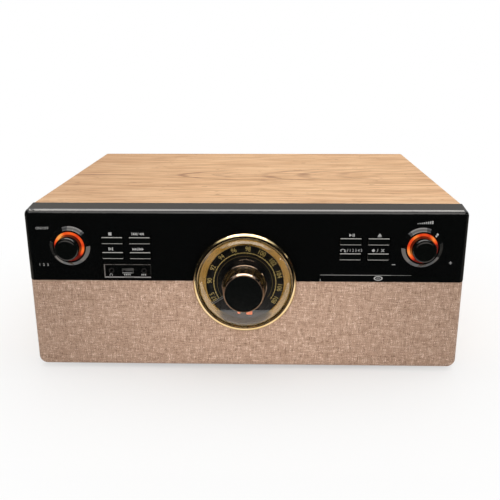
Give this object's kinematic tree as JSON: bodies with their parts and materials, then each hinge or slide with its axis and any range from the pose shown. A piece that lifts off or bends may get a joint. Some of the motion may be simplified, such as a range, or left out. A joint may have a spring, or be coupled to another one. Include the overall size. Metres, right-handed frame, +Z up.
{
  "type": "stereo music centre",
  "caption": "Table-top music centre: record deck under a hinged oak lid, gloss black front with round gold tuning dial, knobs, keys and CD drawer, linen-covered speakers.",
  "frame": {"origin": "on the table, below the middle of the whole object", "axes": "+Z up, the front looks towards -Y, +X to the right as seen from the front"},
  "size_m": [0.483, 0.436, 0.189],
  "materials": {
    "oak": "light oak veneer, satin, grain along the width",
    "black_board": "black painted fibreboard",
    "gloss_black": "polished black moulding",
    "linen": "beige linen cross weave",
    "gold": "pale gold plate, polished",
    "printed_black": "black dial with gold print",
    "clear_plastic": "clear moulded acrylic",
    "amber_light": "lit amber light guide",
    "satin_black": "fine textured black moulding",
    "steel": "plated steel",
    "aluminium": "turned aluminium",
    "brass": "turned brass",
    "cartridge_plastic": "black cartridge shell",
    "felt": "black felt",
    "rubber": "black rubber",
    "paper_cone": "pressed black paper",
    "circuit_board": "green solder resist"
  },
  "bodies": {
    "cabinet": {"side_panel_left": "oak", "side_panel_right": "oak", "base_panel": "black_board", "rear_panel": "black_board", "speaker_baffle": "black_board", "grille_cloth": "linen", "deck_plate": "satin_black", "front_fascia": "gloss_black", "audio_jacks": "satin_black", "usb_socket": "steel", "dial_bezel": "gold", "dial_reflector": "gold", "dial_plate": "printed_black", "dial_lens": "clear_plastic", "knob_light_rings": "amber_light", "button_boards": "circuit_board", "rotary_controls": "satin_black", "cd_chassis": "satin_black", "turntable_motor": "steel", "tonearm_base": "satin_black", "circuit_boards": "circuit_board", "rear_sockets": "satin_black", "cabinet_hinges": "steel", "feet": "rubber", "cabinet_screws": "steel", "speaker_frames": "steel", "speaker_cones": "paper_cone", "drive_belt": "rubber"},
    "lid": {"lid": "oak", "lid_hinge_leaves": "steel", "lid_bumpers": "rubber"},
    "tuning": {"tuning_knob": "gold", "tuning_knob_cap": "gloss_black", "dial_pointer": "clear_plastic", "tuning_shaft": "steel"},
    "capacitor_wheel": {"capacitor_gear": "satin_black"},
    "source_push": {"encoder_plunger": "satin_black"},
    "source_knob": {"source_knob": "gloss_black"},
    "volume_knob": {"volume_knob": "gloss_black"},
    "cd_drawer": {"cd_drawer": "gloss_black"},
    "cd_spindle": {"cd_spindle": "satin_black"},
    "platter": {"platter": "aluminium", "platter_spindle": "steel", "slipmat": "felt"},
    "motor_pulley": {"motor_pulley": "brass"},
    "arm_gimbal": {"tonearm_gimbal": "steel"},
    "tonearm": {"tonearm": "aluminium", "cartridge": "cartridge_plastic"},
    "cue_lever": {"cue_lever": "satin_black"},
    "cue_lift": {"cue_lift": "satin_black"},
    "speed_selector": {"speed_selector": "satin_black"},
    "power_rocker": {"power_rocker": "satin_black"},
    "key_stop": {"key_stop": "gloss_black"},
    "key_skip_back": {"key_skip_back": "gloss_black"},
    "key_mode": {"key_mode": "gloss_black"},
    "key_skip_forward": {"key_skip_forward": "gloss_black"},
    "key_play": {"key_play": "gloss_black"},
    "key_eject": {"key_eject": "gloss_black"},
    "key_repeat": {"key_repeat": "gloss_black"},
    "key_record": {"key_record": "gloss_black"}
  },
  "joints": [
    {"name": "lid_hinge", "type": "hinge", "parent": "cabinet", "child": "lid", "pos_m": [0, 0.2132, 0.177], "axis": [-1, 0, 0], "range_deg": [0, 75]},
    {"name": "tuning_turn", "type": "hinge", "parent": "cabinet", "child": "tuning", "pos_m": [0, -0.178, 0.1083], "axis": [0, 1, 0], "range_deg": [0, 245]},
    {"name": "capacitor_turn", "type": "hinge", "parent": "cabinet", "child": "capacitor_wheel", "pos_m": [0, -0.178, 0.0823], "axis": [0, 1, 0], "range_deg": [-180, 0]},
    {"name": "source_press", "type": "slide", "parent": "cabinet", "child": "source_push", "axis": [0, 1, 0], "range_m": [0, 0.0008], "stiffness_N_per_m": 400, "springref_m": -0.002},
    {"name": "source_turn", "type": "hinge", "parent": "source_push", "child": "source_knob", "pos_m": [-0.1924, -0.178, 0.1483], "axis": [0, 1, 0], "continuous": true},
    {"name": "volume_turn", "type": "hinge", "parent": "cabinet", "child": "volume_knob", "pos_m": [0.1924, -0.178, 0.1483], "axis": [0, 1, 0], "range_deg": [0, 270]},
    {"name": "cd_drawer_slide", "type": "slide", "parent": "cabinet", "child": "cd_drawer", "axis": [0, -1, 0], "range_m": [0, 0.128]},
    {"name": "cd_spin", "type": "hinge", "parent": "cabinet", "child": "cd_spindle", "pos_m": [0.1478, -0.1095, 0.11], "axis": [0, 0, 1], "continuous": true},
    {"name": "platter_spin", "type": "hinge", "parent": "cabinet", "child": "platter", "pos_m": [-0.062, 0.025, 0.132], "axis": [0, 0, -1], "continuous": true},
    {"name": "pulley_spin", "type": "hinge", "parent": "cabinet", "child": "motor_pulley", "pos_m": [-0.12564, -0.03864, 0.132], "axis": [0, 0, -1], "continuous": true},
    {"name": "arm_swing", "type": "hinge", "parent": "cabinet", "child": "arm_gimbal", "pos_m": [0.122, 0.107, 0.132], "axis": [0, 0, -1], "range_deg": [0, 50]},
    {"name": "arm_lift", "type": "hinge", "parent": "arm_gimbal", "child": "tonearm", "pos_m": [0.122, 0.107, 0.164], "axis": [-1, 0, 0], "range_deg": [0, 2]},
    {"name": "cue_turn", "type": "hinge", "parent": "cabinet", "child": "cue_lever", "pos_m": [0.146, 0.107, 0.14], "axis": [-1, 0, 0], "range_deg": [0, 50]},
    {"name": "cue_lift_slide", "type": "slide", "parent": "cabinet", "child": "cue_lift", "axis": [0, 0, 1], "range_m": [0, 0.00105]},
    {"name": "selector_turn", "type": "hinge", "parent": "cabinet", "child": "speed_selector", "pos_m": [0.19, -0.068, 0.132], "axis": [0, 0, 1], "range_deg": [-30, 30]},
    {"name": "rocker_tilt", "type": "hinge", "parent": "cabinet", "child": "power_rocker", "pos_m": [-0.14, 0.208, 0.054], "axis": [1, 0, 0], "range_deg": [0, 14]},
    {"name": "key_stop_press", "type": "slide", "parent": "cabinet", "child": "key_stop", "axis": [0, 1, 0], "range_m": [0, 0.0008], "stiffness_N_per_m": 400, "springref_m": -0.002},
    {"name": "key_skip_back_press", "type": "slide", "parent": "cabinet", "child": "key_skip_back", "axis": [0, 1, 0], "range_m": [0, 0.0008], "stiffness_N_per_m": 400, "springref_m": -0.002},
    {"name": "key_mode_press", "type": "slide", "parent": "cabinet", "child": "key_mode", "axis": [0, 1, 0], "range_m": [0, 0.0008], "stiffness_N_per_m": 400, "springref_m": -0.002},
    {"name": "key_skip_forward_press", "type": "slide", "parent": "cabinet", "child": "key_skip_forward", "axis": [0, 1, 0], "range_m": [0, 0.0008], "stiffness_N_per_m": 400, "springref_m": -0.002},
    {"name": "key_play_press", "type": "slide", "parent": "cabinet", "child": "key_play", "axis": [0, 1, 0], "range_m": [0, 0.0008], "stiffness_N_per_m": 400, "springref_m": -0.002},
    {"name": "key_eject_press", "type": "slide", "parent": "cabinet", "child": "key_eject", "axis": [0, 1, 0], "range_m": [0, 0.0008], "stiffness_N_per_m": 400, "springref_m": -0.002},
    {"name": "key_repeat_press", "type": "slide", "parent": "cabinet", "child": "key_repeat", "axis": [0, 1, 0], "range_m": [0, 0.0008], "stiffness_N_per_m": 400, "springref_m": -0.002},
    {"name": "key_record_press", "type": "slide", "parent": "cabinet", "child": "key_record", "axis": [0, 1, 0], "range_m": [0, 0.0008], "stiffness_N_per_m": 400, "springref_m": -0.002}
  ],
  "couplings": [
    {"joint": "capacitor_turn", "follows": "tuning_turn", "ratio": -0.73333},
    {"joint": "pulley_spin", "follows": "platter_spin", "ratio": 14.6},
    {"joint": "arm_lift", "follows": "cue_turn", "ratio": 0.04},
    {"joint": "cue_lift_slide", "follows": "cue_turn", "m_per_rad": 0.0012032}
  ]
}
